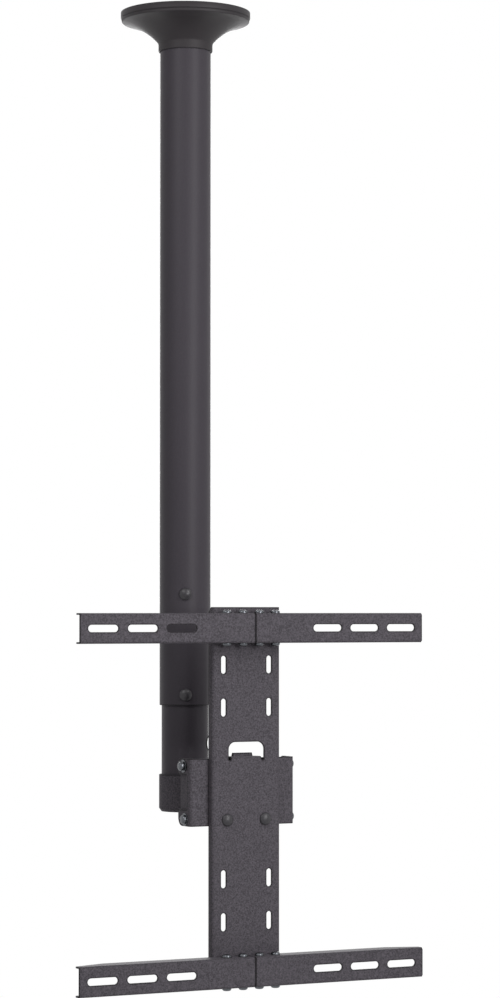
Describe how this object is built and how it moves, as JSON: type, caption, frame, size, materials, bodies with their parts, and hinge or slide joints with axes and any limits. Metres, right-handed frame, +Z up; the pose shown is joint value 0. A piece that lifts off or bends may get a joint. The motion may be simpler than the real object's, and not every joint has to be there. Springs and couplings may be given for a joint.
{
  "type": "tv ceiling mount",
  "caption": "Ceiling mount for a flat screen: a telescoping pole under a round canopy, with a swivelling, tilting head that carries a channel backbone and slotted screen arms.",
  "frame": {"origin": "on the poles' axis, in the ceiling plane, at the centre of the ceiling plate's top face", "axes": "+Z up to the ceiling, -Y towards the screen side, +X to the right seen from the screen side"},
  "size_m": [0.451, 0.2655, 1.1756],
  "materials": {
    "powder_coat_frame": "fine-textured dark grey powder coat on folded steel",
    "powder_coat_pole": "smooth satin dark grey powder coat on steel tube",
    "canopy_plastic": "satin black moulded plastic",
    "zinc_steel": "bright zinc plate",
    "black_steel": "black oxide",
    "nylon": "black nylon",
    "rubber": "black rubber"
  },
  "bodies": {
    "ceiling_column": {"ceiling_plate": "zinc_steel", "pole_socket": "zinc_steel", "outer_pole": "powder_coat_pole", "pole_lock_screws": "zinc_steel", "upper_height_bolt": "black_steel", "lower_height_bolt": "black_steel", "clamp_bar": "zinc_steel"},
    "canopy": {"canopy_cover": "canopy_plastic", "canopy_grip_ring": "rubber"},
    "drop_pole": {"inner_pole": "powder_coat_pole", "pole_top_cap": "nylon", "cable_grommet": "rubber", "pole_end_plug": "zinc_steel"},
    "swivel_head": {"swivel_sleeve": "powder_coat_frame", "swivel_bush": "nylon", "thrust_washer": "nylon", "friction_washer": "zinc_steel", "swivel_nut": "zinc_steel", "swivel_bolt": "black_steel", "swivel_boom": "powder_coat_frame", "swivel_bracket": "powder_coat_frame", "left_tilt_pivot_bolt": "zinc_steel", "right_tilt_pivot_bolt": "zinc_steel", "left_tilt_lock_bolt": "zinc_steel", "right_tilt_lock_bolt": "zinc_steel", "tilt_flat_washers": "zinc_steel", "lock_spring_washers": "zinc_steel", "tilt_nuts": "zinc_steel"},
    "screen_frame": {"tilt_bracket": "powder_coat_frame", "backbone": "powder_coat_frame", "backbone_spacers": "zinc_steel", "backbone_nuts": "zinc_steel", "left_backbone_bolt": "black_steel", "right_backbone_bolt": "black_steel", "upper_arm_carrier": "powder_coat_frame", "lower_arm_carrier": "powder_coat_frame", "upper_left_arm": "powder_coat_frame", "upper_right_arm": "powder_coat_frame", "lower_left_arm": "powder_coat_frame", "lower_right_arm": "powder_coat_frame", "upper_arm_top_screws": "zinc_steel", "upper_arm_underside_screws": "zinc_steel", "lower_arm_top_screws": "zinc_steel", "lower_arm_underside_screws": "zinc_steel"}
  },
  "joints": [
    {"name": "canopy_slide", "type": "slide", "parent": "ceiling_column", "child": "canopy", "axis": [0, 0, -1], "range_m": [0, 0.4]},
    {"name": "pole_extend", "type": "slide", "parent": "ceiling_column", "child": "drop_pole", "axis": [0, 0, -1], "range_m": [0, 0.48]},
    {"name": "swivel", "type": "hinge", "parent": "drop_pole", "child": "swivel_head", "pos_m": [0, 0, -0.955], "axis": [0, 0, 1], "range_deg": [-180, 180]},
    {"name": "tilt", "type": "hinge", "parent": "swivel_head", "child": "screen_frame", "pos_m": [0, -0.139, -0.978], "axis": [1, 0, 0], "range_deg": [-5, 8]}
  ]
}
